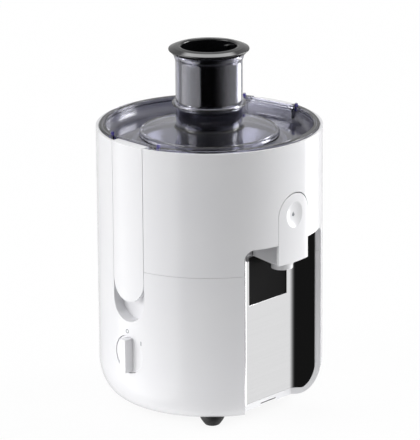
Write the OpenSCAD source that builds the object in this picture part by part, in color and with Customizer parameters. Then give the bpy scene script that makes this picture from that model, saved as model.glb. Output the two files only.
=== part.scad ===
// Centrifugal juicer: round motor base with a bay for a glass, lift-off bowl with a drip-stop spout,
// spinning filter basket, clear lid with feed chute and pusher, and two side latches.
// Z is up, the spout faces -Y, and the origin is on the table under the motor axis.

/* [Body] */
// Radius of the round body
body_r = 110; // [108:0.5:112]
// Height of the white body's top edge above the table
body_top = 279; // [277:0.5:282]
// Height of the joint between the base and the bowl
joint_z = 156.7; // [155:0.1:158]
// Height of the base's underside, which is the height of the rubber feet
foot_h = 9.8; // [7:0.1:11]
// Wall thickness of the base shell
shell_wall = 3; // [2.5:0.1:3]
// Width of the rounding at the bottom of the body
bottom_round_w = 23; // [20:1:26]
// Height of the rounding at the bottom of the body
bottom_round_h = 35.4; // [32:0.1:42]

/* [Glass bay] */
// Distance of the bay's back wall from the motor axis
bay_back = 75.5; // [75:0.1:76]
// Half width of the bay's back wall
bay_half = 34; // [32:0.5:36]
// Sideways opening of the bay's side walls per millimetre forwards
bay_flare = 1.1; // [1.05:0.01:1.15]
// Height of the bay's top edge in the body
bay_top = 182; // [180:0.5:183]
// Thickness of the steel sheet that lines the bay
panel_t = 1; // [0.8:0.1:1.2]
// Height of the steel sheet's lower edge
lining_low = 16.5; // [14:0.5:20]
// Height of the steel sheet's upper edge
lining_top = 181; // [179:0.5:182]
// Half width of the dark window in the steel sheet
window_half = 27.5; // [24:0.5:29]
// Height of the window's lower edge
window_z = 116; // [110:0.5:130]

/* [Latches] */
// Azimuth of each latch, counted from the spout
latch_az = 94; // [93:0.5:95]
// Half width of a latch arm
latch_half = 20.9; // [20:0.1:21.2]
// Height of a latch arm's lower tip
latch_tip_z = 123.3; // [121:0.1:126]
// Height of the finger recess's lowest point
finger_z = 103; // [100:0.5:106]
// Height of the latch pivot
latch_pivot_z = 150; // [148:0.5:151]
// Distance of the latch pivot from the motor axis
latch_pivot_r = 103; // [102.5:0.1:103.2]

/* [Spout] */
// Half width of the drip-stop lever's face plate
lever_half = 21; // [20:0.1:21.5]
// Height of the top of the face plate
lever_top = 230; // [228:0.5:232]
// Height of the face plate's lower edge
lever_bottom = 161.5; // [160:0.1:164]
// Height of the drip-stop lever's pivot
lever_pivot_z = 190; // [189:0.5:191]
// Distance of the drip-stop lever's pivot from the motor axis
lever_pivot_r = 103.4; // [103.2:0.1:103.6]
// Outer radius of the nozzle
nozzle_r = 11.6; // [11:0.1:11.8]
// Height of the nozzle's mouth
nozzle_z = 153; // [151:0.5:155]

/* [Lid and chute] */
// Outer radius of the feed chute
chute_r = 32.5; // [32:0.1:33]
// Wall thickness of the feed chute
chute_wall = 2.2; // [2:0.1:2.3]
// Height of the chute's rim above the body's top edge
chute_h = 70.8; // [68:0.1:71.2]
// Radius of the pusher's rim
pusher_rim_r = 39.2; // [38:0.1:40]

/* [Knob] */
// Radius of the control knob
knob_r = 18.4; // [17:0.1:18.6]
// Height of the knob's axis
knob_z = 69.5; // [68:0.5:71]
// Height of the knob's grip bar above its disc
grip_h = 9.6; // [8:0.1:10]

/* [Hidden] */
$fn = 96;
eps = 0.01;
far = 160;                                   // beyond every wall, for cutters
curve_steps = 18;                            // steps in the rounded bottom of the body
body_bottom = foot_h;
shell_in = body_r - shell_wall;              // inside radius of the base shell
gap = 0.3;                                   // room between pieces of different bodies
skirt_in = body_r - 2.6;                     // inside radius of the bowl's front skin
bowl_out = 106.4;                            // outside radius of the bowl inside the rear wall
bowl_in = 103.9;                             // inside radius of the bowl's ledge and rear wall
ledge_z = body_top - 3.5;                    // top of the bowl's ledge, under the lid
channel_half = latch_half + 0.5;             // half width of the channel a latch arm lies in
column_half = channel_half + 2.4;            // half width of the column round that channel
column_in = 99.6;                            // distance of the column's inner face from the axis
column_top = 265.5;                          // top of the column, under the latch head
pocket_face = column_in - 0.5;               // flat face of the bowl's pocket for a column
pocket_half = column_half + 0.5;
pocket_wall = 2.4;                           // thickness of the bowl's pocket walls
nose_r = 99.3;                               // flat inner face of a latch head
lid_flat = nose_r - gap;                     // flat of the lid beside a latch head
lid_low_flat = pocket_face - pocket_wall - gap;   // flat of the lid inside the bowl's pocket wall
lid_wall = 2.2;                              // thickness of the lid's walls round a latch
floor_z = 184;                               // underside of the bowl's floor
floor_t = 2.4;
deck_z = 152;                                // underside of the deck over the motor
deck_t = 2.5;
window_rebate = 2.2;                         // overlap of the window behind the steel sheet
lining_edge = 5;                             // width of the white edge in front of the steel sheet
backing_t = 2.5;                             // thickness of the wall behind the steel sheet
backing_top = 165;                           // top of that wall's middle
shaft_r = 4;
foot_azimuths = [-46.8, 73.2, 193.2];
foot_circle = 82;
cover_r = 76;                                // radius of the bottom cover, held by the three feet
screw_azimuths = [62, 118, 242, 298];
motor_screw_azimuths = [45, 135, 225, 315];
opening_step = 30;                           // largest step of a wedge's outline, in degrees

// turns something drawn at the front, towards -Y, to an azimuth
module at_azimuth(a) { rotate([0, 0, a]) children(); }

// both latches' places
module at_latches() { for (s = [-1, 1]) at_azimuth(s * latch_az) children(); }

// the three feet's places, each on its own upright axis
module at_feet() { for (a = foot_azimuths) at_azimuth(a) translate([0, -foot_circle, 0]) children(); }

// the places of the four screws through the motor's rubber mounts
module at_motor_screws() { for (a = motor_screw_azimuths) at_azimuth(a) translate([0, -33, 0]) children(); }

// wedge between two azimuths, in the plane
module wedge(a0, a1) {
    steps = ceil((a1 - a0) / opening_step);
    polygon(concat([[0, 0]], [for (i = [0:steps]) let (a = a0 + (a1 - a0) * i / steps)
        far * [sin(a), -cos(a)]]));
}

module ring(outer, inner) {
    difference() {
        circle(outer);
        circle(inner);
    }
}

// ring standing on a height
module band(outer, inner, z0, z1) { translate([0, 0, z0]) linear_extrude(z1 - z0) ring(outer, inner); }

module disc(r, z0, z1) { translate([0, 0, z0]) cylinder(r = r, h = z1 - z0); }

// box at the front: half width, from one distance off the axis to another, between two heights
module front_box(half, from, to, z0, z1) { translate([-half, -to, z0]) cube([2 * half, to - from, z1 - z0]); }

// an outline drawn in width and height, extruded outwards at the front
module front_outline(from, to) {
    translate([0, -from, 0]) rotate([90, 0, 0]) linear_extrude(to - from) children();
}

// half width of the bay at a distance from the axis, with its outline moved out by a gap
function bay_width(f, out) = bay_half + (f - bay_back) * bay_flare + out * sqrt(1 + bay_flare * bay_flare);

module bay_plan(out) {
    back = bay_back - out;
    polygon([[-bay_width(back, out), -back], [bay_width(back, out), -back],
             [bay_width(far, out), -far], [-bay_width(far, out), -far]]);
}

// the bay's opening in the body's face, with round upper corners
module bay_face(out) {
    r = 9;
    half = bay_half + (95 - bay_back) * bay_flare + out;
    top = bay_top + out;
    translate([-half, -20]) square([2 * half, top - r + 20]);
    translate([-half + r, -20]) square([2 * (half - r), top + 20]);
    for (s = [-1, 1]) translate([s * (half - r), top - r]) circle(r);
}

// everything inside the body's round outline, inset by a wall
module body_envelope(inset, z1) {
    w = bottom_round_w - inset;
    h = bottom_round_h - inset;
    z0 = body_bottom + inset;
    curve = [for (i = [0:curve_steps]) let (t = 90 - 90 * i / curve_steps)
        [body_r - bottom_round_w + w * cos(t), body_bottom + bottom_round_h - h * sin(t)]];
    rotate_extrude($fn = 180) polygon(concat([[0, z0]], curve, [[body_r - inset, z1], [0, z1]]));
}

// outline of a latch channel or arm: straight sides and a half-round lower end
module latch_outline(half, tip, top) {
    translate([-half, tip + half]) square([2 * half, top - tip - half]);
    translate([0, tip + half]) circle(half);
}

/* base */

module latch_columns() {
    at_latches() {
        intersection() {
            front_outline(95, shell_in + 1) latch_outline(column_half, finger_z - 2.4, joint_z);
            disc(shell_in + 0.5, 0, joint_z - 0.6);
        }
        intersection() {
            front_box(column_half, column_in, body_r, joint_z - 8, column_top);
            disc(skirt_in - 1.3, 0, body_top);
        }
    }
}

module rear_wall() {
    translate([0, 0, joint_z - 4]) linear_extrude(body_top - joint_z + 4) intersection() {
        ring(body_r, shell_in + 0.3);
        difference() {
            wedge(latch_az + 8, 360 - latch_az - 8);
            at_latches() translate([-channel_half, -far]) square([2 * channel_half, far]);
        }
    }
    // webs that join the rear wall to the two columns
    for (s = [-1, 1]) at_azimuth(s * latch_az) intersection() {
        translate([s > 0 ? channel_half : -column_half, -far, joint_z - 4])
            cube([column_half - channel_half, far - column_in, column_top - joint_z + 4]);
        disc(body_r - 1, 0, body_top);
    }
}

module foot_posts() {
    at_feet() difference() {
        union() {
            disc(9, body_bottom + 3, body_bottom + 20);
            front_box(1, 2, shell_in - 4 - foot_circle, body_bottom + 8, body_bottom + 26);
        }
        cylinder(r = 1.5, h = body_bottom + 17, $fn = 24);
    }
}

module deck_posts() {
    for (a = screw_azimuths) at_azimuth(a) difference() {
        union() {
            translate([0, -96, deck_z - 26]) cylinder(r = 4.2, h = 26, $fn = 32);
            front_box(1.2, 96, shell_in + 0.5, deck_z - 26, deck_z);
        }
        translate([0, -96, deck_z - 20]) cylinder(r = 1.5, h = 30, $fn = 24);
    }
}

module knob_socket() {
    // flat dish for the knob, sunk into the round wall
    at_azimuth(-latch_az) translate([0, -102.4, knob_z]) rotate([90, 0, 0])
        cylinder(r = knob_r + 3, h = 6, $fn = 64);
}

module knob_dish() {
    at_azimuth(-latch_az) translate([0, -104.6, knob_z]) rotate([90, 0, 0]) {
        cylinder(r = knob_r + 0.6, h = 12, $fn = 64);
        translate([0, 0, -8]) cylinder(r = 4.2, h = 12, $fn = 48);
    }
}

module base_housing() {
    color("white") difference() {
        union() {
            difference() {
                body_envelope(0, joint_z);
                body_envelope(shell_wall, joint_z + 1);
            }
            rear_wall();
            // wall behind the steel sheet
            intersection() {
                body_envelope(1, joint_z);
                translate([0, 0, body_bottom]) linear_extrude(joint_z - body_bottom) difference() {
                    bay_plan(panel_t + backing_t);
                    bay_plan(0);
                }
            }
            front_box(bay_half - 0.5, bay_back - panel_t - backing_t, bay_back - panel_t, joint_z - 2,
                backing_top);
            intersection() {
                knob_socket();
                disc(shell_in + 0.5, 0, joint_z);
            }
            foot_posts();
            deck_posts();
            latch_columns();
            intersection() {
                rotate([0, 0, 180]) front_box(16, 97, shell_in + 0.5, 30, 62);
                disc(shell_in + 0.5, 0, joint_z);
            }
        }
        // the bay itself, and room for the steel sheet inside the shell
        translate([0, 0, -1]) linear_extrude(joint_z + 2) bay_plan(0);
        intersection() {
            translate([0, 0, lining_low - 0.2]) linear_extrude(joint_z) bay_plan(panel_t);
            body_envelope(lining_edge - 0.2, joint_z + 4);
        }
        front_box(window_half + window_rebate, bay_back - 2.3, bay_back, window_z - window_rebate,
            backing_top + 1);
        // opening for the bottom cover, and the screw holes of the feet
        disc(cover_r + gap, 0, body_bottom + 3.01);
        at_feet() cylinder(r = 1.5, h = body_bottom + 4, $fn = 24);
        at_latches() {
            front_outline(97.4, far) latch_outline(channel_half, finger_z, joint_z - 1.5);
            front_outline(column_in + 2.2, far) latch_outline(channel_half, finger_z, body_top + 5);
            translate([0, -latch_pivot_r, latch_pivot_z]) rotate([0, 90, 0])
                cylinder(r = 1.5, h = 2 * column_half - 1.4, center = true, $fn = 32);
        }
        knob_dish();
        // seat of the power inlet in the rear
        rotate([0, 0, 180]) translate([0, -90, 46]) rotate([90, 0, 0]) cylinder(r = 7, h = 30, $fn = 48);
    }
}

module bottom_cover() {
    color([0.12, 0.12, 0.13]) difference() {
        union() {
            disc(cover_r, body_bottom, body_bottom + 2.8);
            band(58, 56, body_bottom + 2, body_bottom + 8);
        }
        translate([0, 0, -1]) linear_extrude(60) bay_plan(panel_t + 2.7);
        at_feet() cylinder(r = 2, h = 30, $fn = 24);
        // air slots under the motor
        for (r = [20:8:44], a = [0:90:270]) at_azimuth(a) intersection() {
            band(r + 2, r - 2, 0, 30);
            linear_extrude(30) wedge(8, 82);
        }
    }
}

module rubber_feet() {
    profile = [[0, 0], [6.2, 0], [7.2, 0.5], [8.6, 2.2], [10.4, 4.8], [11.6, 6.9], [11.9, 7.8],
               [11.9, foot_h + 4], [0, foot_h + 4]];
    color([0.06, 0.06, 0.06]) difference() {
        at_feet() difference() {
            rotate_extrude($fn = 48) polygon(profile);
            translate([0, 0, -1]) cylinder(r = 4, h = 4.6, $fn = 32);
            translate([0, 0, -1]) cylinder(r = 2, h = foot_h + 2, $fn = 24);
        }
        // the top follows the body's round underside
        body_envelope(0, 60);
    }
}

module foot_screws() {
    color("silver") at_feet() {
        translate([0, 0, 1.4]) cylinder(r = 3.6, h = 2.2, $fn = 32);
        translate([0, 0, 3.5]) cylinder(r = 1.5, h = 22, $fn = 24);
    }
}

module recess_panel() {
    color([0.8, 0.8, 0.82]) difference() {
        intersection() {
            body_envelope(lining_edge, lining_top);
            translate([0, 0, lining_low]) linear_extrude(lining_top) difference() {
                bay_plan(panel_t);
                bay_plan(0);
            }
        }
        front_box(window_half, 60, 90, window_z, backing_top + eps);
    }
}

module recess_window() {
    color([0.03, 0.03, 0.03]) front_box(window_half + window_rebate - 0.2, bay_back - 2.2, bay_back - panel_t,
        window_z - window_rebate + 0.2, backing_top);
}

/* deck and motor */

module top_deck() {
    color([0.85, 0.85, 0.86]) difference() {
        union() {
            disc(shell_in - 0.3, deck_z, deck_z + deck_t);
            disc(26, deck_z - 4, 171);
            band(62, 60, deck_z + 1, 158);
        }
        translate([0, 0, 100]) linear_extrude(100) bay_plan(panel_t + 2.8);
        at_latches() front_box(column_half + 0.3, 94.6, far, 100, 300);
        disc(12, 100, 300);
        disc(23.5, 100, 168);
        for (a = screw_azimuths) at_azimuth(a) translate([0, -96, 100]) cylinder(r = 1.8, h = 100, $fn = 24);
        at_motor_screws() disc(2.1, 100, 200, $fn = 24);
    }
}

module deck_screws() {
    color("silver") for (a = screw_azimuths) at_azimuth(a) translate([0, -96, 0]) {
        disc(1.5, deck_z - 14, deck_z + deck_t + eps);
        disc(3.2, deck_z + deck_t, deck_z + deck_t + 2);
    }
}

module shaft_seal() { color([0.1, 0.1, 0.1]) band(11.98, 9.5, 166, 171); }

module motor_mounts() {
    color([0.08, 0.08, 0.08]) at_motor_screws() difference() {
        disc(6, 140, deck_z);
        disc(2.1, 130, 160);
        // clears the head of the bolt beside it
        translate([0, -6.4, 0]) disc(3.3, 130, 143);
    }
}

module motor_mount_screws() {
    color("silver") at_motor_screws() {
        disc(2, 130, deck_z + deck_t + eps);
        disc(3.8, deck_z + deck_t, deck_z + deck_t + 2.4);
    }
}

module bracket(plate_z, boss_z0, boss_z1, bearing_z0, bearing_z1) {
    difference() {
        union() {
            intersection() {
                disc(43, plate_z, plate_z + 4);
                union() {
                    disc(20, plate_z, plate_z + 4);
                    for (a = [0:90:270]) at_azimuth(a + 45) front_box(7, 0, 43, plate_z, plate_z + 4);
                }
            }
            disc(12, boss_z0, boss_z1);
        }
        disc(8.5, bearing_z0, bearing_z1);
        disc(5.5, 0, 200);
        for (a = motor_screw_azimuths) at_azimuth(a) {
            translate([0, -33, 0]) cylinder(r = 2, h = 200, $fn = 24);
            translate([0, -39.4, 0]) cylinder(r = 1.6, h = 200, $fn = 24);
        }
    }
}

module motor_upper_bracket() { color([0.72, 0.73, 0.75]) bracket(136, 128, 140, 128 - eps, 135); }

module motor_lower_bracket() { color([0.72, 0.73, 0.75]) bracket(38, 32, 44, 37, 44 + eps); }

module motor_stator() {
    color([0.45, 0.46, 0.48]) translate([0, 0, 72]) linear_extrude(32) difference() {
        intersection() {
            circle(37.5);
            square(2 * 35, center = true);
        }
        circle(24.4);
        for (a = [0, 180]) at_azimuth(a) intersection() {
            ring(32.4, 20);
            union() {
                wedge(42, 66);
                wedge(114, 138);
            }
        }
    }
}

module field_coils() {
    color([0.72, 0.42, 0.2]) for (a = [0, 180]) at_azimuth(a) {
        for (w = [[44, 64], [116, 136]]) intersection() {
            band(32, 25.2, 62, 114);
            linear_extrude(200) wedge(w[0], w[1]);
        }
        for (z = [62, 105]) intersection() {
            band(32, 25.2, z, z + 9);
            linear_extrude(200) wedge(44, 136);
        }
    }
}

module motor_bolts() {
    color("silver") for (a = motor_screw_azimuths) at_azimuth(a) translate([0, -39.4, 0]) {
        disc(1.6, 34, 141);
        disc(3, 34 - 1, 38);
        disc(3, 140, 142.4);
    }
}

module bearing(z0, z1) {
    band(8.5, 6.9, z0, z1);
    band(6.9, 5.6, z0 + 1, z1 - 1);
    band(5.6, shaft_r + 0.05, z0, z1);
}

module upper_bearing() { color("silver") bearing(128.5, 135); }

module lower_bearing() { color("silver") bearing(37, 43.5); }

module brush_holders() {
    color([0.15, 0.12, 0.1]) for (a = [0, 180]) at_azimuth(a) difference() {
        union() {
            front_box(6, 15, 33, 50, 62);
            front_box(3, 22, 33, 42, 50 + eps);
        }
        front_box(3.5, 0, 34, 53, 59);
    }
}

module carbon_brushes() {
    color([0.2, 0.2, 0.2]) for (a = [0, 180]) at_azimuth(a) difference() {
        front_box(3.45, 10, 26, 53.05, 58.95);
        disc(12.3, 40, 70);
    }
}

module rotor_core() {
    color([0.5, 0.5, 0.52]) translate([0, 0, 72]) linear_extrude(32) difference() {
        circle(23.8);
        circle(shaft_r);
        for (a = [0:30:330]) rotate(a) translate([-1.2, 14]) square([2.4, 12]);
    }
}

module rotor_windings() {
    color([0.75, 0.4, 0.15]) {
        band(21, shaft_r, 104, 112);
        band(21, shaft_r, 64.5, 72);
        for (a = [0:30:330]) rotate(a) translate([-1.2, 14.1, 71.9]) cube([2.4, 8, 32.2]);
    }
}

module commutator() {
    color([0.8, 0.5, 0.25]) difference() {
        band(12, shaft_r, 48, 64.5);
        for (a = [0:15:345]) rotate(a) translate([10.6, -0.25, 50]) cube([3, 0.5, 20]);
    }
}

module motor_shaft() { color("silver") disc(shaft_r, 33, 164); }

module cooling_fan() {
    color([0.2, 0.2, 0.22]) {
        band(34, shaft_r, 115, 116.6);
        band(8, shaft_r, 116.5, 126);
        for (a = [0:36:324]) rotate(a) translate([7.5, -0.7, 116.5]) cube([26, 1.4, 8]);
    }
}

// six-lobed drive outline
module spline(r, half) {
    circle(r - 2.2);
    for (a = [0:60:300]) rotate(a) translate([0, -half]) square([r, 2 * half]);
}

module drive_dog() {
    color([0.25, 0.25, 0.27]) difference() {
        union() {
            disc(9.2, 158, 173);
            translate([0, 0, 173 - eps]) linear_extrude(13) spline(8.6, 1.6);
        }
        disc(shaft_r, 150, 164);
    }
}

/* controls */

module rotary_switch() {
    color([0.15, 0.15, 0.16]) at_azimuth(-latch_az) {
        difference() {
            front_box(14, 78, 97, knob_z - 14, knob_z + 14);
            translate([0, -70, knob_z]) rotate([90, 0, 0]) cylinder(r = 3.1, h = 40, $fn = 48);
        }
        for (z = [knob_z - 8, knob_z + 8]) front_box(5, 74, 78 + eps, z - 0.4, z + 0.4);
    }
}

module circuit_board() {
    color([0.1, 0.35, 0.2]) {
        translate([20, 60, 90]) cube([50, 1.6, 38]);
        translate([28, 48, 96]) cube([14, 12.01, 24]);
        translate([52, 52, 100]) cube([10, 8.01, 10]);
    }
}

module power_inlet() {
    color([0.1, 0.1, 0.1]) rotate([0, 0, 180]) translate([0, -96, 46]) rotate([90, 0, 0]) difference() {
        union() {
            cylinder(r = 6.9, h = 14, $fn = 48);
            translate([0, 0, -2]) cylinder(r = 9.5, h = 2.6, $fn = 48);
        }
        translate([0, 0, -4]) cylinder(r = 3.6, h = 30, $fn = 32);
    }
}

module control_knob() {
    color("white") at_azimuth(-latch_az) translate([0, 0, knob_z]) {
        front_outline(104.9, 107.9) circle(knob_r, $fn = 96);
        front_outline(107.9 - eps, 107.9 + grip_h) intersection() {
            translate([-4, -20]) square([8, 40]);
            circle(knob_r - 1.2, $fn = 96);
        }
        front_outline(80, 105) circle(3, $fn = 48);
        front_outline(98.5, 105) circle(4, $fn = 48);
    }
}

/* latches */

module latch_arm() {
    difference() {
        union() {
            intersection() {
                front_outline(90, far) latch_outline(latch_half, latch_tip_z, body_top);
                band(body_r, body_r - 3.1, 100, body_top + 0.4);
            }
            // head that reaches over to the lid
            intersection() {
                front_box(latch_half, nose_r, far, 267.5, body_top + 0.4);
                disc(body_r, 200, body_top + 0.4);
            }
            for (s = [-1, 1]) intersection() {
                translate([s * 12 - 0.9, -108, 160]) cube([1.8, 5.2, 108]);
                disc(body_r - 1, 0, 300);
            }
            for (s = [-1, 1]) {
                translate([s * 15, -latch_pivot_r, latch_pivot_z]) rotate([0, 90, 0])
                    cylinder(r = 3.2, h = 9, center = true, $fn = 48);
                translate([s * 15 - 4.5, -107.4, latch_pivot_z - 3.2]) cube([9, 4.4, 6.4]);
            }
        }
        translate([0, -latch_pivot_r, latch_pivot_z]) rotate([0, 90, 0])
            cylinder(r = 1.55, h = 60, center = true, $fn = 32);
    }
}

module latch_left() { color("white") at_azimuth(-latch_az) latch_arm(); }

module latch_right() { color("white") at_azimuth(latch_az) latch_arm(); }

module latch_pins() {
    color("silver") at_latches() translate([0, -latch_pivot_r, latch_pivot_z]) rotate([0, 90, 0])
        cylinder(r = 1.5, h = 2 * column_half - 1.6, center = true, $fn = 32);
}

module latch_springs() {
    color([0.6, 0.6, 0.62]) at_latches() translate([0, -latch_pivot_r, latch_pivot_z]) {
        for (x = [-4:1.05:4]) translate([x, 0, 0]) rotate([0, 90, 0])
            rotate_extrude($fn = 32) translate([2.25, 0]) circle(0.55, $fn = 16);
        translate([-4, 2.25, -8]) cylinder(r = 0.5, h = 8, $fn = 16);
    }
}

/* bowl and spout */

// outline of the bowl in plan, moved in by a wall
module bowl_plan(inset, rear_r, front_r) {
    difference() {
        union() {
            circle(rear_r);
            intersection() {
                circle(front_r);
                wedge(-latch_az + inset / 2, latch_az - inset / 2);
            }
        }
        for (s = [-1, 1]) at_azimuth(s * latch_az)
            translate([-pocket_half - inset, -far])
                square([2 * (pocket_half + inset), far - pocket_face + inset]);
    }
}

// pocket behind the drip-stop lever's face plate
module lever_pocket(out) {
    front_box(23.2 + out, 99.4 - out, far, floor_z - 3, lever_top + 2.5 + out);
}

module lever_slot() {
    front_outline(90, far) {
        half = lever_half + 0.5;
        translate([-half, floor_z - 40]) square([2 * half, lever_top - half - floor_z + 41.2]);
        translate([0, lever_top + 1.2 - half]) circle(half);
    }
}

module bowl() {
    color("white") difference() {
        union() {
            difference() {
                union() {
                    // pot
                    translate([0, 0, floor_z]) linear_extrude(ledge_z - floor_z)
                        bowl_plan(0, bowl_out, bowl_out);
                    // front skin, down to the joint
                    translate([0, 0, joint_z + gap]) linear_extrude(body_top - joint_z - gap) difference() {
                        intersection() {
                            circle(body_r);
                            wedge(-latch_az, latch_az);
                        }
                        circle(skirt_in - 1);
                        for (s = [-1, 1]) at_azimuth(s * latch_az)
                            translate([-channel_half - 0.1, -far]) square([2 * channel_half + 0.2, far]);
                    }
                }
                // inside of the pot, with the ledge left under the lid
                translate([0, 0, floor_z + floor_t]) linear_extrude(ledge_z - floor_z - 4.6)
                    bowl_plan(pocket_wall, bowl_in, skirt_in);
                translate([0, 0, ledge_z - 4]) linear_extrude(20) bowl_plan(pocket_wall, bowl_in, bowl_in);
                translate([0, 0, ledge_z]) linear_extrude(20) circle(skirt_in);
                translate([0, 0, joint_z - 1]) linear_extrude(floor_z - joint_z + 1) circle(skirt_in);
            }
            // side walls of the bay, behind the steel sheet and in front of its edge
            intersection() {
                disc(skirt_in + 0.5, 0, 300);
                translate([0, 0, joint_z + gap]) linear_extrude(floor_z - joint_z) difference() {
                    bay_plan(panel_t + gap + 2);
                    intersection() {
                        bay_plan(panel_t + gap);
                        circle(body_r - lining_edge + gap);
                    }
                    bay_plan(0);
                    translate([-bay_half - 1.5, -bay_back - 2]) square([2 * bay_half + 3, 20]);
                }
            }
            intersection() {
                lever_pocket(2);
                disc(skirt_in + 0.5, floor_z, 300);
            }
            band(58.5, 56.5, joint_z + gap, floor_z + 1);
        }
        // the bay in the front skin
        intersection() {
            translate([0, 0, 100]) linear_extrude(floor_z - 100 + eps) bay_plan(0);
            front_outline(60, far) bay_face(0);
            difference() {
                disc(far, 0, 300);
                disc(60, 0, 300);
            }
        }
        intersection() {
            lever_pocket(0);
            disc(skirt_in, 0, 300);
        }
        lever_slot();
        disc(20.5, 100, 200);
        // hole down into the spout
        front_box(9.5, 78.5, 97, floor_z - 1, floor_z + 10);
        translate([0, -lever_pivot_r, lever_pivot_z]) rotate([0, 90, 0])
            cylinder(r = 1.5, h = 49.4, center = true, $fn = 32);
        // room for the bay's back wall, which belongs to the base
        front_box(bay_half + 0.5, bay_back - panel_t - 3.4, bay_back + gap, joint_z - 1, backing_top + 1);
    }
}

module juice_collector() {
    color([0.55, 0.56, 0.6, 0.6]) difference() {
        union() {
            band(81, 79, 186.6, 250);
            disc(81, 186.6, 188.8);
            disc(19, 186.6, 194);
            intersection() {
                front_box(13, 74, 98.8, 186.6, 202);
                disc(98.9, 0, 300);
            }
        }
        disc(17, 100, 300);
        front_box(11, 0, 96.9, 188.8, 200);
        front_box(9.5, 78.5, 96.9, 180, 190);
        disc(79, 202, 300);
    }
    color([0.55, 0.56, 0.6, 0.6]) intersection() {
        band(81, 79, 201.9, 210);
        front_box(13, 60, 90, 0, 300);
    }
}

module spout_shape(inset) {
    hull() {
        front_box(22.4 - inset, bay_back + 0.7 + inset, bay_back + 3, 166 + inset, floor_z);
        translate([0, -93.4, 158 + inset])
            cylinder(r = nozzle_r - inset, h = floor_z - 158 - inset, $fn = 32);
    }
}

module juice_spout() {
    color("white") difference() {
        union() {
            spout_shape(0);
            translate([0, -93.4, nozzle_z]) cylinder(r = nozzle_r - 1, h = 8, $fn = 48);
        }
        intersection() {
            spout_shape(2);
            disc(far, 0, floor_z + 1);
        }
        front_box(9.5, 78.5, 96.9, floor_z - 4, floor_z + 1);
        translate([0, -93.4, nozzle_z - 1]) cylinder(r = nozzle_r - 2.8, h = 20, $fn = 48);
    }
}

module drip_stop_lever() {
    color("white") difference() {
        union() {
            intersection() {
                band(body_r, skirt_in - 0.2, lever_bottom, 300);
                front_outline(80, far) {
                    translate([-lever_half, 0]) square([2 * lever_half, lever_top - lever_half]);
                    translate([0, lever_top - lever_half]) circle(lever_half);
                }
            }
            for (s = [-1, 1]) {
                translate([s * 17, -lever_pivot_r, lever_pivot_z]) rotate([0, 90, 0])
                    cylinder(r = 2.9, h = 5, center = true, $fn = 48);
                translate([s * 17 - 2.5, -107, lever_pivot_z - 2.9]) cube([5, 3.6, 5.8]);
            }
        }
        // finger dish
        translate([0, -lever_pivot_r - 39.2, lever_top - lever_half]) sphere(r = 35, $fn = 96);
        translate([0, -lever_pivot_r, lever_pivot_z]) rotate([0, 90, 0])
            cylinder(r = 1.55, h = 60, center = true, $fn = 32);
    }
}

module drip_stop_pin() {
    color("silver") translate([0, -lever_pivot_r, lever_pivot_z]) rotate([0, 90, 0])
        cylinder(r = 1.5, h = 49, center = true, $fn = 32);
}

module drip_stop_seal() {
    color([0.1, 0.1, 0.1]) front_box(7, 105.4, 107, 163, 175);
}

module drip_stop_spring() {
    color([0.6, 0.6, 0.62]) translate([0, -lever_pivot_r, lever_pivot_z]) {
        for (x = [-4.2:1.05:4.2]) translate([x, 0, 0]) rotate([0, 90, 0])
            rotate_extrude($fn = 32) translate([2.25, 0]) circle(0.5, $fn = 16);
    }
}

/* basket */

basket_floor = 196;
screen_low = [46, 198.5];
screen_high = [71, 258];

module basket_frame() {
    slope = (screen_high[0] - screen_low[0]) / (screen_high[1] - screen_low[1]);
    color([0.75, 0.76, 0.78]) {
        difference() {
            disc(48, basket_floor, screen_low[1]);
            disc(10, 100, 300);
        }
        difference() {
            band(75, screen_high[0] - 0.3, 254, 262);
            disc(screen_high[0] + 0.75, 250, screen_high[1] + 0.02);
        }
        for (a = [0:45:315]) rotate([0, 0, a]) rotate([90, 0, 0]) linear_extrude(2, center = true)
            polygon([[screen_low[0] + 0.9, basket_floor + 1], [screen_low[0] + 2, basket_floor],
                     [screen_high[0] + 3.4, 256], [screen_high[0] + 0.9 - slope * 2, 256]]);
    }
}

module filter_screen() {
    t = 0.7;
    color([0.7, 0.71, 0.73]) rotate_extrude($fn = 128) polygon([screen_low, screen_high,
        [screen_high[0] + t, screen_high[1]], [screen_low[0] + t, screen_low[1]]]);
}

module grater_disc() {
    z = screen_low[1];
    color([0.78, 0.79, 0.8]) {
        band(45, 10, z + 0.05, z + 1.2);
        // rings of teeth, about 14 mm apart along each ring
        for (ring_r = [16:5.5:42]) {
            teeth = round(ring_r / 2.2) + 1;
            for (i = [0:teeth - 1]) rotate([0, 0, i * 360 / teeth + ring_r * 4])
                translate([ring_r - 0.4, -1.1, z + 1]) cube([0.8, 2.2, 1.5]);
        }
    }
}

module basket_hub() {
    color([0.3, 0.3, 0.32]) difference() {
        union() {
            disc(15, 176, basket_floor);
            disc(9.8, basket_floor - eps, 202);
        }
        disc(11, 100, 190);
    }
}

module hub_insert() {
    color([0.75, 0.6, 0.35]) difference() {
        disc(10.9, 176.5, 189.9);
        translate([0, 0, 170]) linear_extrude(17) spline(9, 2);
        disc(9.6, 170, 178);
    }
}

/* lid, chute and pusher */

// points of an arc, from one angle to another
function arc(c, r, a0, a1, n) = [for (i = [0:n]) let (a = a0 + (a1 - a0) * i / n) c + r * [cos(a), sin(a)]];

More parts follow.
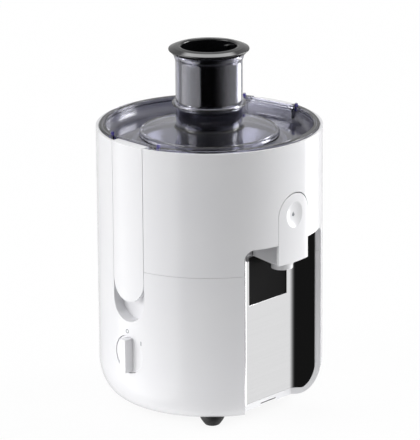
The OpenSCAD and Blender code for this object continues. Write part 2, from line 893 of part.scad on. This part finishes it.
module lid_profile() {
    t = 2;
    rim_in = 101;
    dish_z = body_top - 12.5;
    disc_z = body_top - 6.5;
    polygon(concat(
        // upper surface, from the collar outwards
        [[chute_r - chute_wall, body_top + 18], [chute_r - 0.1, body_top + 18]],
        arc([chute_r + 2.4, body_top + 0.4], 2.5, 180, 270, 6),
        [[64, disc_z + 1.6]],
        arc([66, disc_z - 0.4], 2, 80, 10, 5),
        [[68.4, disc_z - 3.2]],
        arc([rim_in - 7, dish_z + 7], 7, 270, 360, 8),
        [[rim_in, body_top + 0.4]],
        arc([rim_in + 1.2, body_top + 0.8], 1.2, 180, 90, 4),
        arc([105.4, body_top + 0.8], 1.2, 90, 0, 4),
        [[106.6, body_top - 2], [103.4, body_top - 2], [103.4, dish_z + 6]],
        arc([rim_in - 7, dish_z + 7], 7 + t, 354, 270, 8),
        [[68.4, disc_z - 3.2 - t], [64, disc_z - t + 1.4], [chute_r, body_top - 4.2],
         [chute_r, 208], [chute_r - chute_wall, 208]]));
}

// room for a latch head above the bowl's ledge
module lid_notch(from) {
    at_latches() front_box(pocket_half + 1.2, from, far, body_top - 30, body_top + 10);
}

// room for the bowl's pocket wall below its ledge
module lid_low_notch() {
    at_latches() front_box(pocket_half + pocket_wall + gap, lid_low_flat, far, body_top - 30, ledge_z + gap);
}

module lid() {
    color([0.5, 0.5, 0.62, 0.35]) {
        difference() {
            union() {
                rotate_extrude($fn = 180) lid_profile();
                // walls round the latches
                intersection() {
                    at_latches() front_box(pocket_half + pocket_wall + gap + lid_wall, lid_low_flat - lid_wall,
                        far, body_top - 12, body_top - 0.5);
                    disc(103, 0, 400);
                }
                intersection() {
                    at_latches() front_box(pocket_half + 4, lid_flat - lid_wall, far, body_top - 1,
                        body_top + 1.8);
                    disc(103, 0, 400);
                }
            }
            intersection() {
                lid_notch(lid_flat);
                disc(far, ledge_z + gap - 1, 400);
            }
            lid_low_notch();
        }
        for (s = [-1, 1], a = [75.6, 112.4]) at_azimuth(s * a)
            front_box(1.2, 101.5, 103, body_top - 4, body_top + 5);
    }
}

module lid_seal() {
    color([0.35, 0.35, 0.38]) difference() {
        band(106.3, 104.2, body_top - 3.2, body_top - 2);
        lid_notch(90);
    }
}

module feed_chute() {
    z0 = body_top + 18;
    z1 = body_top + chute_h;
    in_r = chute_r - chute_wall;
    color([0.5, 0.5, 0.62, 0.35]) rotate_extrude($fn = 120) polygon(concat(
        [[in_r, z0 + eps], [chute_r, z0 + eps]],
        arc([chute_r + 1.7, z0 + 3.4], 1.9, 270, 450, 10),
        [[chute_r, z0 + 6.6]],
        arc([chute_r + 12, z1 - 9], 12, 180, 152, 5),
        [[chute_r + 1.7, z1 - 1.2], [chute_r + 0.9, z1], [in_r + 1, z1], [in_r, z1 - 1.5]]));
}

module pusher() {
    rim_z = body_top + 75.3;
    out_r = 29.4;
    in_r = 27;
    color([0.05, 0.05, 0.05]) {
        rotate_extrude($fn = 120) polygon(concat(
            [[0, 210], [out_r - 1, 210], [out_r, 211], [out_r, rim_z - 6], [31.5, rim_z - 3.9],
             [36.4, rim_z - 3.6]],
            arc([pusher_rim_r - 1.2, rim_z - 0.4], 1.2, 270, 405, 8),
            [[34, rim_z + 2.3], [30, rim_z + 3]],
            arc([29, rim_z + 1], 2, 80, 180, 6),
            [[in_r, rim_z - 6], [in_r, 213], [0, 213]]));
        for (a = [90, 270]) rotate([0, 0, a]) translate([-2, -in_r - 0.5, rim_z - 16]) cube([4, 4, 14]);
    }
}

base_housing();
bottom_cover();
rubber_feet();
foot_screws();
recess_panel();
recess_window();
top_deck();
deck_screws();
shaft_seal();
motor_mounts();
motor_mount_screws();
motor_upper_bracket();
motor_lower_bracket();
motor_stator();
field_coils();
motor_bolts();
upper_bearing();
lower_bearing();
brush_holders();
carbon_brushes();
rotor_core();
rotor_windings();
commutator();
motor_shaft();
cooling_fan();
drive_dog();
rotary_switch();
circuit_board();
power_inlet();
control_knob();
latch_left();
latch_right();
latch_pins();
latch_springs();
bowl();
juice_collector();
juice_spout();
drip_stop_lever();
drip_stop_pin();
drip_stop_seal();
drip_stop_spring();
basket_frame();
filter_screen();
grater_disc();
basket_hub();
hub_insert();
lid();
lid_seal();
feed_chute();
pusher();
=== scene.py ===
# %% [markdown]
# # A centrifugal juicer
# The juicer is a round white plastic body with a glass bay at the front. A clear lid closes the top, and a black pusher
# stands in its feed chute. The CAD model already holds every solid at its real size, so this notebook does not draw
# them again. It gives each one its material, and it replaces one shape, the steel sheet in the bay, whose round folds a
# CAD mesh can't show.

import math

import bpy
import numpy as np
from mathutils import Matrix, Vector


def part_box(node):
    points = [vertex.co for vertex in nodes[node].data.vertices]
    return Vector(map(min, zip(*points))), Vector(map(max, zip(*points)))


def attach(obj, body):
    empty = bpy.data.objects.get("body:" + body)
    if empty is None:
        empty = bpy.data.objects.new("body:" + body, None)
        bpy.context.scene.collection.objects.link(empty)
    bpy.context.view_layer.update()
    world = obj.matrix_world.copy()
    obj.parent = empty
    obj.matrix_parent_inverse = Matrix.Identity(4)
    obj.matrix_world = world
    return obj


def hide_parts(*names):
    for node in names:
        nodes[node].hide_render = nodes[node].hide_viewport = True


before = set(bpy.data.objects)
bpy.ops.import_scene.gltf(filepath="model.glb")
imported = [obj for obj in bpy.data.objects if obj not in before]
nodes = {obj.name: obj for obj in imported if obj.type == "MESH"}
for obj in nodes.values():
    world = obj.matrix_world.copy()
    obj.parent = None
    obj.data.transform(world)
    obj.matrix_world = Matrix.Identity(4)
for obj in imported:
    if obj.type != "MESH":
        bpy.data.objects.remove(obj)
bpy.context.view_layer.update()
MM = 0.001

# %% [markdown]
# Places come from the frame and not from a ruler. The top edge of the bowl is the height that the lid sits on, and
# the radius of the body is half the housing's width.

# %% Main dimensions
body_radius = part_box("base_housing")[1].x
top_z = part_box("bowl")[1].z
print("body radius", round(body_radius / MM, 2), "top edge", round(top_z / MM, 2))

# %% [markdown]
# ## Camera
# A product photographer stands far away with a long lens, so that upright lines stay nearly parallel. The camera aims
# a little below the top edge, which puts the chute and the feet at equal margins.

# %% Camera
CAMERA_AZIMUTH = math.radians(-47.5)
CAMERA_RISE = 0.2678
CAMERA_PITCH = 0.2961
CAMERA_ROLL = -0.0066
CAMERA_DISTANCE = 3.3
LENS = 278.8


def bearing(azimuth, rise=0.0):
    """Unit vector towards an azimuth, counted from -Y towards +X, and an angle above the horizon."""
    return Vector((math.sin(azimuth) * math.cos(rise), -math.cos(azimuth) * math.cos(rise), math.sin(rise)))


aim = Vector((0, 0, top_z))
camera_data = bpy.data.cameras.new("camera")
camera_data.lens = LENS
camera_data.sensor_width = 36
camera_data.clip_end = 50
camera = bpy.data.objects.new("camera", camera_data)
bpy.context.collection.objects.link(camera)
camera.location = aim + bearing(CAMERA_AZIMUTH, CAMERA_RISE) * CAMERA_DISTANCE
looking = -bearing(CAMERA_AZIMUTH, CAMERA_PITCH)
right = looking.cross(Vector((0, 0, 1))).normalized()
up = right.cross(looking)
tilted_right = right * math.cos(CAMERA_ROLL) + up * math.sin(CAMERA_ROLL)
tilted_up = tilted_right.cross(looking)
camera.matrix_world = Matrix.Translation(camera.location) @ Matrix(
    (tilted_right, tilted_up, -looking)).transposed().to_4x4()
bpy.context.scene.camera = camera
print("camera at", [round(v, 3) for v in camera.location])

# %% [markdown]
# ## Studio
# A glossy white object on white is drawn by what it reflects. The studio is white all round, and it stays dark behind
# the camera. That dark gap gives the body its soft grey middle, and the polished steel and the chute their black
# bands. Two small strong lamps, one on each side, light the body's flanks.

# %% Helpers for colours and nodes


def linear(hex_colour):
    """sRGB '#rrggbb' as linear RGBA: c / 12.92 below 0.04045, and ((c + 0.055) / 1.055) ** 2.4 above it."""
    c = np.array([int(hex_colour[i:i + 2], 16) for i in (1, 3, 5)]) / 255
    return (*np.where(c < 0.04045, c / 12.92, ((c + 0.055) / 1.055) ** 2.4).tolist(), 1.0)


def add(tree, kind, settings=None, links=None, **values):
    """Adds a node, sets its properties and its input values, and links its inputs to other sockets."""
    node = tree.nodes.new(kind)
    for name, value in (settings or {}).items():
        setattr(node, name, value)
    for name, value in values.items():
        node.inputs[name.replace("_", " ")].default_value = value
    for name, socket in (links or {}).items():
        tree.links.new(socket, node.inputs[name])
    return node


# %% [markdown]
# The world is one smooth function of direction, so it has no hard lamp edges and little noise. Each soft box is a
# smooth step on the cosine between the direction and the box's own bearing.

# %% World
WHITE_WALLS = 1.25
GAP_SHARE = 0.99  # how much of the wall's light is missing behind the camera
BACK_SHARE = 0.4  # and behind the object
LAMP_RISE = math.radians(12)


def lobe(tree, direction, towards, start, end, strength):
    """Strength times a smooth step of the cosine between the direction and a bearing, from start to end."""
    dot = add(tree, "ShaderNodeVectorMath", {"operation": "DOT_PRODUCT"}, {0: direction})
    dot.inputs[1].default_value = towards
    ramp = add(tree, "ShaderNodeMapRange", {"interpolation_type": "SMOOTHSTEP"}, {"Value": dot.outputs["Value"]},
               From_Min=start, From_Max=end, To_Min=0.0, To_Max=strength)
    return ramp.outputs["Result"]


def total(tree, first, second, operation="ADD"):
    """Sum or product of two sockets."""
    return add(tree, "ShaderNodeMath", {"operation": operation}, {0: first, 1: second}).outputs[0]


def beside_camera(degrees, rise):
    """Direction at an angle to the right of the camera, seen from the object."""
    return bearing(CAMERA_AZIMUTH + math.radians(degrees), rise)


world = bpy.data.worlds.new("studio")
bpy.context.scene.world = world
world.use_nodes = True
sky = world.node_tree
sky.nodes.clear()
direction = add(sky, "ShaderNodeTexCoord").outputs["Generated"]
left_lamp = lobe(sky, direction, beside_camera(-67, LAMP_RISE), 0.9, 0.98, 4.6)
right_lamp = lobe(sky, direction, beside_camera(106, LAMP_RISE), 0.94, 0.99, 9.5)
gap = lobe(sky, direction, beside_camera(-5, -2 * LAMP_RISE), 0.16, 0.95, WHITE_WALLS * GAP_SHARE)
behind = lobe(sky, direction, beside_camera(180, 0), 0.2, 0.8, WHITE_WALLS * BACK_SHARE)
walls = add(sky, "ShaderNodeMath", {"operation": "SUBTRACT"}, {1: total(sky, gap, behind)})
walls.inputs[0].default_value = WHITE_WALLS
# tall panels that only show as reflections: they draw the light stripes on the chute and the rim
left_panel = lobe(sky, direction, beside_camera(-70, -LAMP_RISE), 0.74, 0.84, 1.8)
right_panel = lobe(sky, direction, beside_camera(128, -LAMP_RISE), 0.965, 0.985, 5.0)
overhead_panel = lobe(sky, direction, beside_camera(180, 4.5 * LAMP_RISE), 0.94, 0.975, 5.0)
panels = total(sky, total(sky, left_panel, right_panel), overhead_panel)
light_path = add(sky, "ShaderNodeLightPath")
reflected = total(sky, panels, light_path.outputs["Is Glossy Ray"], "MULTIPLY")
light = total(sky, total(sky, left_lamp, right_lamp), total(sky, walls.outputs[0], reflected))
seen = light_path.outputs["Is Camera Ray"]
lit = add(sky, "ShaderNodeBackground", links={"Strength": light})
backdrop = add(sky, "ShaderNodeBackground", Color=linear("#ffffff"), Strength=1.0)
both = add(sky, "ShaderNodeMixShader", links={0: seen, 1: lit.outputs[0], 2: backdrop.outputs[0]})
add(sky, "ShaderNodeOutputWorld", links={"Surface": both.outputs[0]})
bpy.context.scene.view_settings.view_transform = "Standard"

# %% [markdown]
# ## Floor
# The floor is a wide light table under the object. It is a stage piece, so it does not belong to the juicer.

# %% Floor
FLOOR_SIZE = 12.0
floor_mesh = bpy.data.meshes.new("floor")
corners = np.array([(-1, -1, 0), (1, -1, 0), (1, 1, 0), (-1, 1, 0)]) * FLOOR_SIZE / 2
floor_mesh.from_pydata(corners.tolist(), [], [(0, 1, 2, 3)])
floor = bpy.data.objects.new("floor", floor_mesh)
bpy.context.collection.objects.link(floor)

# %% [markdown]
# ## Materials
# Every material starts as one Principled shader on the piece's own Object coordinates, which are metres. A pattern's
# scale is the number of its features in a metre, so a size in millimetres becomes a scale by division.

# %% Material helpers


def per_size(millimetres):
    """Noise scale that gives features about this big: features per metre."""
    return 1 / (millimetres * MM)


def start(name, colour, roughness, **values):
    """One Principled shader of a colour and a roughness. Returns the material, its tree, the shader and the place."""
    material = bpy.data.materials.new(name)
    material.use_nodes = True
    tree = material.node_tree
    tree.nodes.clear()
    shader = add(tree, "ShaderNodeBsdfPrincipled", Base_Color=linear(colour), Roughness=roughness, **values)
    add(tree, "ShaderNodeOutputMaterial", links={"Surface": shader.outputs[0]})
    material.diffuse_color = linear(colour)
    return material, tree, shader, add(tree, "ShaderNodeTexCoord").outputs["Object"]


def noise(tree, place, size, detail=2.0, **values):
    """A noise socket from 0 to 1 with features of a size in millimetres."""
    return add(tree, "ShaderNodeTexNoise", links={"Vector": place}, Scale=per_size(size), Detail=detail,
               **values).outputs["Fac"]


def spread(tree, value, low, high, start_at=0.3, end_at=0.7):
    """Maps a noise value onto the range from low to high."""
    return add(tree, "ShaderNodeMapRange", links={"Value": value}, From_Min=start_at, From_Max=end_at,
               To_Min=low, To_Max=high).outputs["Result"]


def tint(tree, shader, value, first, second, start_at=0.3, end_at=0.7):
    """Colours the shader between two hex colours by a value."""
    factor = spread(tree, value, 0, 1, start_at, end_at)
    mix = add(tree, "ShaderNodeMix", {"data_type": "RGBA"}, {0: factor})
    mix.inputs[6].default_value = linear(first)
    mix.inputs[7].default_value = linear(second)
    tree.links.new(mix.outputs[2], shader.inputs["Base Color"])


def roughen(tree, shader, value, low, high):
    """Varies the shader's roughness from low to high by a value."""
    tree.links.new(spread(tree, value, low, high), shader.inputs["Roughness"])


def bump(tree, shader, value, depth, strength=1.0):
    """Raises the surface by a value times a depth in millimetres."""
    node = add(tree, "ShaderNodeBump", links={"Height": value}, Strength=strength, Distance=depth * MM)
    tree.links.new(node.outputs["Normal"], shader.inputs["Normal"])


# %% [markdown]
# The shell is injection-moulded ABS from a polished tool. Such a part is very smooth, but not a mirror: the plastic
# shrinks as it cools, which leaves waves a few centimetres long, and wiping leaves faint dull patches.

# %% Gloss white ABS
ABS_IOR = 1.54


def moulded_gloss(name, colour, other_colour, roughness):
    """Polished injection-moulded plastic: slow shrink waves, faint dull patches, and a hint of colour drift."""
    material, tree, shader, place = start(name, colour, roughness, IOR=ABS_IOR)
    tint(tree, shader, noise(tree, place, 60), colour, other_colour)
    roughen(tree, shader, noise(tree, place, 9, 4), roughness * 0.8, roughness * 1.3)
    bump(tree, shader, noise(tree, place, 28, 1), 0.02, 0.5)
    return material


white_abs = moulded_gloss("white_gloss_moulded_abs", "#f1f1f3", "#eeeef1", 0.16)
black_abs = moulded_gloss("black_gloss_moulded_abs", "#0d0d0f", "#101012", 0.08)

# %% [markdown]
# The window in the steel sheet is smoked acrylic with an anti-glare face, so it stays nearly black where the steel
# beside it is bright.

# %% Smoked window
window_black, window_tree, window_shader, window_place = start(
    "antiglare_smoked_acrylic", "#050506", 0.35, Specular_IOR_Level=0.08)
tint(window_tree, window_shader, noise(window_tree, window_place, 20), "#050506", "#070708")

# %% [markdown]
# Inner plastic parts come from a tool that was spark eroded. Its fine grain, about a third of a millimetre, scatters
# the light and hides flow marks.

# %% Textured plastics


def moulded_matt(name, colour, other_colour, roughness, grain=0.35):
    """Spark-eroded moulded plastic: a fine even grain in the surface, and a slow colour drift."""
    material, tree, shader, place = start(name, colour, roughness, IOR=ABS_IOR)
    tint(tree, shader, noise(tree, place, 25), colour, other_colour)
    roughen(tree, shader, noise(tree, place, 4, 3), roughness * 0.9, min(1, roughness * 1.15))
    bump(tree, shader, noise(tree, place, grain, 1), 0.03, 0.6)
    return material


black_plastic = moulded_matt("black_textured_polypropylene", "#18181a", "#1e1e20", 0.5)
grey_plastic = moulded_matt("grey_textured_abs", "#b9bbbf", "#b2b4b9", 0.42)
board_green = moulded_matt("solder_mask_on_glass_epoxy", "#1d5a34", "#235f3b", 0.35, 1.2)

# %% [markdown]
# The lid, the chute and the juice collector are clear styrene acrylonitrile, tinted a smoky violet. The tint sits in
# the plastic, so edges look darker than faces because the light travels further there.

# %% Smoky clear SAN
SAN_IOR = 1.57
smoke_san, smoke_tree, smoke_shader, smoke_place = start(
    "smoky_clear_san", "#cfcfdc", 0.04, IOR=SAN_IOR, Transmission_Weight=1.0)
roughen(smoke_tree, smoke_shader, noise(smoke_tree, smoke_place, 12, 3), 0.02, 0.06)
bump(smoke_tree, smoke_shader, noise(smoke_tree, smoke_place, 30, 1), 0.02, 0.3)

# %% [markdown]
# The sheet in the bay is bright-rolled stainless steel. Rolling leaves very fine lines along the sheet, which stretch
# each reflection across them. The filter and the grater are the same steel, pressed and etched.

# %% Metals


def metal(name, colour, other_colour, roughness, line=0.4, stretch=(1, 1, 1), depth=0.004):
    """A metal whose rolling or turning lines are noise squeezed along one axis."""
    material, tree, shader, place = start(name, colour, roughness, Metallic=1.0)
    drawn = add(tree, "ShaderNodeMapping", links={"Vector": place}, Scale=stretch).outputs[0]
    tint(tree, shader, noise(tree, drawn, line * 3), colour, other_colour)
    roughen(tree, shader, noise(tree, drawn, line, 3), roughness * 0.9, roughness * 1.15)
    bump(tree, shader, noise(tree, drawn, line, 2), depth, 0.4)
    return material


ALONG_Z, ALONG_X = (1, 1, 0.02), (0.02, 1, 1)
polished_steel = metal("bright_rolled_stainless_sheet", "#dcdcdd", "#dadadb", 0.07, 0.5, ALONG_X, 0.001)
screen_steel = metal("etched_stainless_screen", "#bfc0c4", "#b2b3b8", 0.3, 0.6)
screw_steel = metal("zinc_plated_screw_steel", "#b8babd", "#a9a79f", 0.32, 0.5)
bearing_steel = metal("ground_bearing_steel", "#c3c4c8", "#b5b6ba", 0.18, 0.3, ALONG_Z)
motor_iron = metal("stacked_lamination_iron", "#6c6d70", "#5c5d62", 0.5, 0.5, (0.05, 0.05, 1), 0.05)
cast_aluminium = metal("die_cast_aluminium", "#a9abae", "#9c9ea2", 0.45, 0.8, (1, 1, 1), 0.03)
winding_copper = metal("enamelled_copper_winding", "#b0683a", "#8f4f2b", 0.35, 0.7, (1, 1, 0.1), 0.12)
insert_brass = metal("turned_brass", "#c7a35c", "#b8934e", 0.25, 0.3, ALONG_Z)

# %% [markdown]
# Brushes are pressed carbon, which is dull and grainy. Feet and mounts are moulded black rubber with a bloom that greys
# it in faint patches, and seals are grey silicone.

# %% Carbon and rubber
brush_carbon = moulded_matt("pressed_carbon", "#26262a", "#2f2f33", 0.6, 0.5)
black_rubber = moulded_matt("black_moulded_rubber", "#101011", "#1a1a1b", 0.62, 0.6)
grey_rubber = moulded_matt("grey_silicone_rubber", "#5d5f66", "#666870", 0.5, 0.8)

# %% [markdown]
# ## Steel sheet
# The sheet in the bay is folded, not mitred, so its two folds are round and each gathers the whole room into a narrow
# band. It is drawn as a path in plan (back, fold, flank), lifted from its lower edge to the upper one. The lower edge
# is level until the body's round underside comes up to meet it.

# %% Folded steel sheet
FOLD_R = 11 * MM
FOLD_STEPS = 15
SHEET_T = 1.0 * MM
BAY_HALF = 34 * MM
BAY_FLARE = 1.1  # sideways growth of the bay for each step forwards
FLANK_REACH = 60 * MM
WINDOW_HALF = 27.5 * MM
WINDOW_LOW = 116 * MM
SHEET_INSET = 5 * MM
FLANK_ANGLE = math.atan2(1, BAY_FLARE)
ROUND_ACROSS, ROUND_HIGH = 18 * MM, 30.4 * MM
ROUND_R, ROUND_Z = 87 * MM, 45.2 * MM
panel_low, panel_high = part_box("recess_panel")
window_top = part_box("recess_window")[1].z
bay_back = SHEET_T - panel_high.y


def sheet_path():
    """Half of the sheet's front face in plan, from the middle outwards: x and distance in front of the axis.

    A straight back, an arc of radius FOLD_R that turns by FLANK_ANGLE, and a straight flank up to SHEET_INSET
    inside the body's surface.
    """
    tangent = FOLD_R * math.tan(FLANK_ANGLE / 2)
    start_x = BAY_HALF - tangent
    back = [(x, bay_back) for x in (0.0, WINDOW_HALF / 2, WINDOW_HALF)]
    turn = np.linspace(0, FLANK_ANGLE, FOLD_STEPS)
    fold = np.column_stack([start_x + FOLD_R * np.sin(turn), bay_back + FOLD_R * (1 - np.cos(turn))])
    along = np.array([math.cos(FLANK_ANGLE), math.sin(FLANK_ANGLE)])
    reach = np.linspace(0, FLANK_REACH, 241)[1:, None]
    flank = fold[-1] + reach * along
    flank = flank[np.hypot(flank[:, 0], flank[:, 1]) < body_radius - SHEET_INSET]
    return np.vstack([back, fold, flank])


def underside(radius):
    """Height of the body's round underside, SHEET_INSET inside it: a quarter ellipse round (ROUND_R, ROUND_Z)."""
    part = np.clip((radius - ROUND_R) / ROUND_ACROSS, 0, 0.999)
    return ROUND_Z - ROUND_HIGH * np.sqrt(1 - part ** 2)


half_path = sheet_path()
path = np.vstack([half_path[:0:-1] * (-1, 1), half_path])
low_edge = np.maximum(panel_low.z, underside(np.hypot(path[:, 0], path[:, 1])))
rows = np.array([[(x, -forward, height) for height in (low, WINDOW_LOW, window_top, panel_high.z)]
                 for (x, forward), low in zip(path, low_edge)])
levels = rows.shape[1]
WINDOW_ROW = 1
sheet_faces = []
for i in range(len(path) - 1):
    middle = (path[i, 0] + path[i + 1, 0]) / 2
    for j in range(levels - 1):
        if j == WINDOW_ROW and abs(middle) < WINDOW_HALF:
            continue
        corner = i * levels + j
        sheet_faces.append((corner, corner + levels, corner + levels + 1, corner + 1))
sheet_mesh = bpy.data.meshes.new("steel_lining")
sheet_mesh.from_pydata(rows.reshape(-1, 3).tolist(), [], sheet_faces)
sheet_mesh.materials.append(polished_steel)
sheet_mesh.shade_smooth()
steel_lining = bpy.data.objects.new("steel_lining", sheet_mesh)
bpy.context.collection.objects.link(steel_lining)
thick = steel_lining.modifiers.new("sheet thickness", "SOLIDIFY")
thick.thickness = SHEET_T
thick.offset = -1
thick.use_rim = True
flat_faces = steel_lining.modifiers.new("flat faces stay flat", "WEIGHTED_NORMAL")
flat_faces.weight = 50
flat_faces.thresh = 0.001
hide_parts("recess_panel")
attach(steel_lining, "base")
print("steel sheet:", len(path), "steps, lower edge", round(panel_low.z / MM, 1), "mm")

# %% [markdown]
# ## Printed marks and locators
# The marks are pad-printed, so they lie on the plastic as a film about a tenth of a millimetre thick: a ring and a bar
# beside the knob, and a drop in a thin ring in the dish of the drip-stop plate. The lid has four violet locators at
# its rim.

# %% Marks
PRINT_T = 0.12 * MM


def inked(name, colour, roughness):
    """Matt printing ink with a slightly uneven film."""
    material, tree, shader, place = start(name, colour, roughness)
    tint(tree, shader, noise(tree, place, 0.6), colour, "#8b8d93")
    return material


grey_ink = inked("grey_pad_printing_ink", "#7d8087", 0.6)
violet_abs = moulded_gloss("violet_moulded_abs", "#4b4390", "#4f4897", 0.25)


def surface_distance(node, azimuth, height):
    """Distance of a solid's outer surface from the axis at an azimuth and a height."""
    out = bearing(azimuth)
    outside = Vector((0, 0, height)) + out * 2 * body_radius
    found, place, _, _ = nodes[node].ray_cast(outside, -out)
    return Vector((place.x, place.y)).length if found else body_radius


def wrapped(name, outline, azimuth, height, distance, thickness, body, slot_name, material, inner=None):
    """A flat shape bent round the axis: closed film from an outline in mm, or a ring between two outlines."""
    outer = np.asarray(outline) * MM
    loops = [outer] if inner is None else [outer, np.asarray(inner) * MM]
    layers = []
    for radius in (distance - thickness / 2, distance + thickness / 2):
        for loop in loops:
            turn = azimuth + loop[:, 0] / distance
            layers.append(np.column_stack([np.sin(turn) * radius, -np.cos(turn) * radius, height + loop[:, 1]]))
    count = len(outer)
    faces = []
    if inner is None:
        faces += [tuple(reversed(range(count))), tuple(range(count, 2 * count))]
        sides = [(0, 1, False)]
    else:
        sides = [(0, 2, False), (1, 3, True), (1, 0, False), (2, 3, False)]
    for first, second, flip in sides:
        for i in range(count):
            j = (i + 1) % count
            face = (first * count + i, first * count + j, second * count + j, second * count + i)
            faces.append(tuple(reversed(face)) if flip else face)
    mesh = bpy.data.meshes.new(name)
    mesh.from_pydata(np.vstack(layers).tolist(), [], faces)
    mesh.materials.append(material)
    piece = bpy.data.objects.new(name, mesh)
    bpy.context.collection.objects.link(piece)
    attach(piece, body)
    return piece


def circle(radius, count=40):
    """Outline of a circle in mm."""
    turn = np.linspace(0, 2 * np.pi, count, endpoint=False)
    return np.column_stack([np.cos(turn), np.sin(turn)]) * radius


def drop(width, count=40):
    """Outline of a drop: a round lower half, and an upper half drawn narrower and taller by the square of the sine, up
    to a point.
    """
    turn = np.linspace(-np.pi / 2, 3 * np.pi / 2, count, endpoint=False)
    pull = np.clip(np.sin(turn), 0, 1) ** 2
    return np.column_stack([np.cos(turn) * (1 - 0.75 * pull), np.sin(turn) * (1 + 0.75 * pull)]) * width / 2


def bar(width, height):
    """Outline of a rectangle in mm."""
    return np.array([(-1, -1), (1, -1), (1, 1), (-1, 1)]) * (width / 2, height / 2)


# %% [markdown]
# The two marks beside the knob lie on the round body. The drop and its ring lie in the dish, so their distance from
# the axis is measured on the solid.

# %% Place the marks and locators
OFF_AZIMUTH, OFF_Z = math.radians(-94.4), 92.9 * MM
ON_AZIMUTH, ON_Z = math.radians(-85.1), 84.1 * MM
DISH_Z = 207.7 * MM
LOCATOR_AZIMUTHS = (-112.4, -75.6, 75.6, 112.4)
LOCATOR_R, LOCATOR_T = 102.2 * MM, 2.0 * MM
dish_face = surface_distance("drip_stop_lever", 0.0, DISH_Z)
print_on_base = (body_radius, PRINT_T, "base", "grey_plastic", grey_ink)
print_in_dish = (dish_face, PRINT_T, "drip_stop", "grey_plastic", grey_ink)
wrapped("off_mark", circle(2.1), OFF_AZIMUTH, OFF_Z, *print_on_base, circle(1.35))
wrapped("on_mark", bar(0.9, 4.2), ON_AZIMUTH, ON_Z, *print_on_base)
wrapped("dish_ring", circle(8.2), 0.0, DISH_Z, *print_in_dish, circle(7.9))
wrapped("drop_mark", drop(4.4), 0.0, DISH_Z, *print_in_dish)
for number, degrees in enumerate(LOCATOR_AZIMUTHS):
    wrapped(f"lid_locator_{number}", bar(2.8, 7.6), math.radians(degrees), top_z + 0.5 * MM,
            LOCATOR_R, LOCATOR_T, "lid", "smoke_plastic", violet_abs)
print("drop mark at", round(dish_face / MM, 2), "mm from the axis")

# %% [markdown]
# The floor glows by itself and takes only a hint of shadow, as a light table does. The camera sees all of it, the body
# gets soft light from the part close by, and reflections pass through it and find the studio.

# %% Light table
LIGHT_TABLE_SHADOW = 0.1
TABLE_WHITE = "#f4f4f5"
BOUNCE_NEAR, BOUNCE_FAR = 0.15, 0.55  # metres from the axis between which the bounced light fades out
lit_floor, floor_tree, floor_shader, floor_place = start("white_light_table", TABLE_WHITE, 0.9)
tint(floor_tree, floor_shader, noise(floor_tree, floor_place, 200), TABLE_WHITE, "#f6f6f6")
glow = add(floor_tree, "ShaderNodeEmission", Strength=1.0)
glowing = add(floor_tree, "ShaderNodeMixShader", links={1: glow.outputs[0], 2: floor_shader.outputs[0]})
glowing.inputs[0].default_value = LIGHT_TABLE_SHADOW
unseen = add(floor_tree, "ShaderNodeBsdfTransparent")
table_path = add(floor_tree, "ShaderNodeLightPath")
distance = add(floor_tree, "ShaderNodeVectorMath", {"operation": "LENGTH"}, {0: floor_place}).outputs["Value"]
nearness = add(floor_tree, "ShaderNodeMapRange", links={"Value": distance}, From_Min=BOUNCE_NEAR, From_Max=BOUNCE_FAR,
               To_Min=1.0, To_Max=0.0).outputs["Result"]
bounced = total(floor_tree, table_path.outputs["Is Diffuse Ray"], nearness, "MULTIPLY")
bounce_mix = add(floor_tree, "ShaderNodeMixShader", links={0: bounced, 1: unseen.outputs[0], 2: glow.outputs[0]})
floor_mix = add(floor_tree, "ShaderNodeMixShader",
                links={0: table_path.outputs["Is Camera Ray"], 1: bounce_mix.outputs[0], 2: glowing.outputs[0]})
floor_output = next(node for node in floor_tree.nodes if node.type == "OUTPUT_MATERIAL")
floor_tree.links.new(floor_mix.outputs[0], floor_output.inputs["Surface"])

# %% [markdown]
# ## Finishes of the CAD solids
# Each CAD solid names a material slot in its record, so one table dresses them all.

# %% Dress the CAD nodes
FINISHES = {
    "white_shell": white_abs, "smoke_plastic": smoke_san, "black_gloss": black_abs, "black_plastic": black_plastic,
    "grey_plastic": grey_plastic, "steel_sheet": polished_steel, "screen_steel": screen_steel,
    "screw_steel": screw_steel, "bearing_steel": bearing_steel, "motor_iron": motor_iron,
    "cast_aluminium": cast_aluminium, "winding_copper": winding_copper, "insert_brass": insert_brass,
    "brush_carbon": brush_carbon, "board_green": board_green, "black_rubber": black_rubber,
    "grey_rubber": grey_rubber,
}
for node in nodes.values():
    for place, old in enumerate(node.data.materials):
        node.data.materials[place] = FINISHES[old.name]
floor.data.materials.append(lit_floor)
nodes["recess_window"].data.materials[0] = window_black
print("dressed", len(nodes), "CAD nodes")
